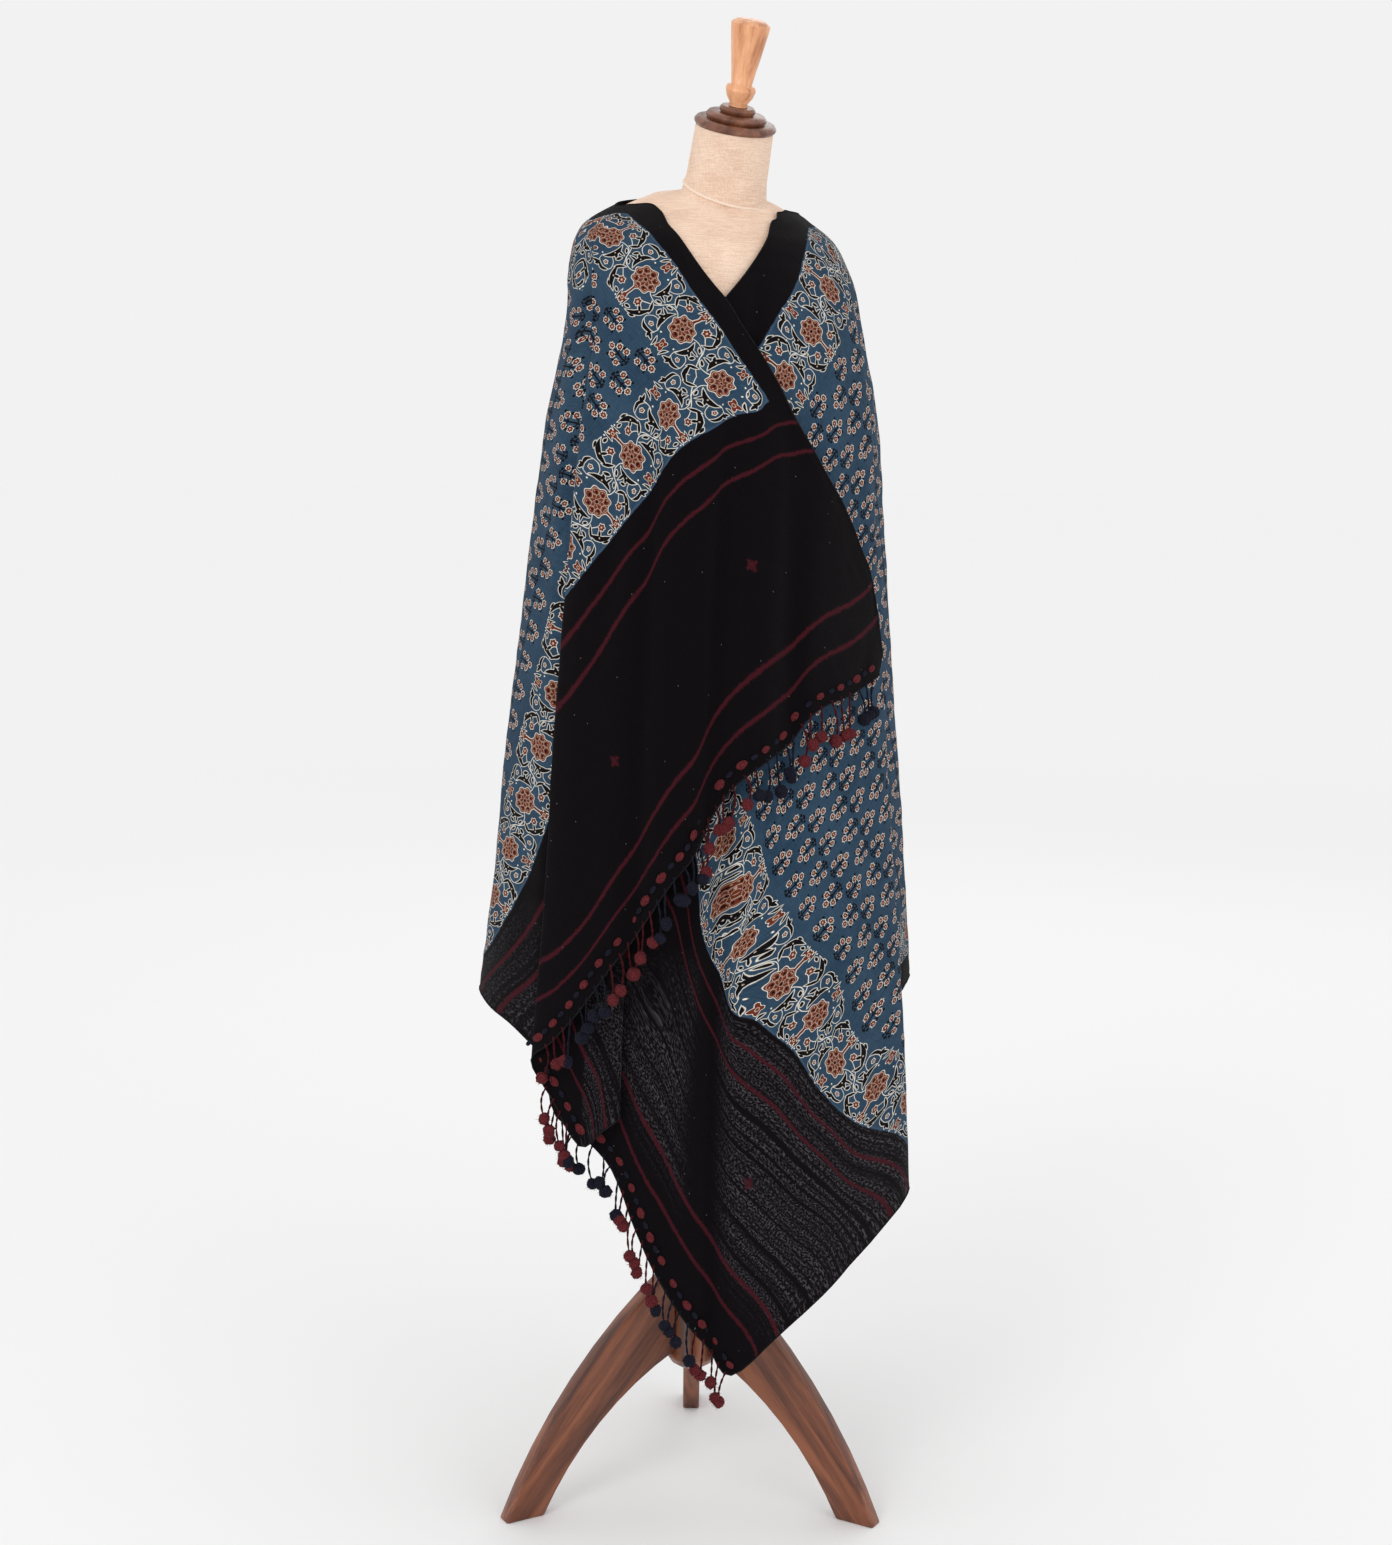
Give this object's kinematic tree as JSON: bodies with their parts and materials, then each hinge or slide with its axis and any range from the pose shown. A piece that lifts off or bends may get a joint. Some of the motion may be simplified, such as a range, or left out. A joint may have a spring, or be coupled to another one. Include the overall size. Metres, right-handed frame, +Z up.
{
  "type": "dupatta on a dress form",
  "caption": "Block-printed cotton dupatta with pompom-fringed ends, draped from the neck of a limbless dress form on a wooden stand.",
  "frame": {"origin": "on the floor, under the middle of the outline seen from above", "axes": "+Z up, -Y towards the viewer in front of the drape, +X to the viewer's right; the dress form faces between -Y and +X"},
  "size_m": [0.4962, 0.438, 1.6165],
  "materials": {
    "cloth": "matt handloom cotton, block printed in indigo, rust, cream and black",
    "fringe": "twisted cotton cords with fuzzy pompoms, maroon and near black",
    "linen": "plain beige linen",
    "brown_wood": "stained hardwood, satin",
    "pale_wood": "orange-brown hardwood, satin"
  },
  "bodies": {
    "root": {"cloth_over": "cloth", "cloth_back": "cloth", "cloth_under": "cloth", "fringe_over": "fringe", "fringe_over_turned": "fringe", "fringe_under": "fringe", "form_body": "linen", "neck_cap": "brown_wood", "finial": "pale_wood", "pole": "brown_wood", "hub": "brown_wood", "leg_right": "brown_wood", "leg_rear": "brown_wood", "leg_left": "brown_wood"}
  },
  "joints": []
}
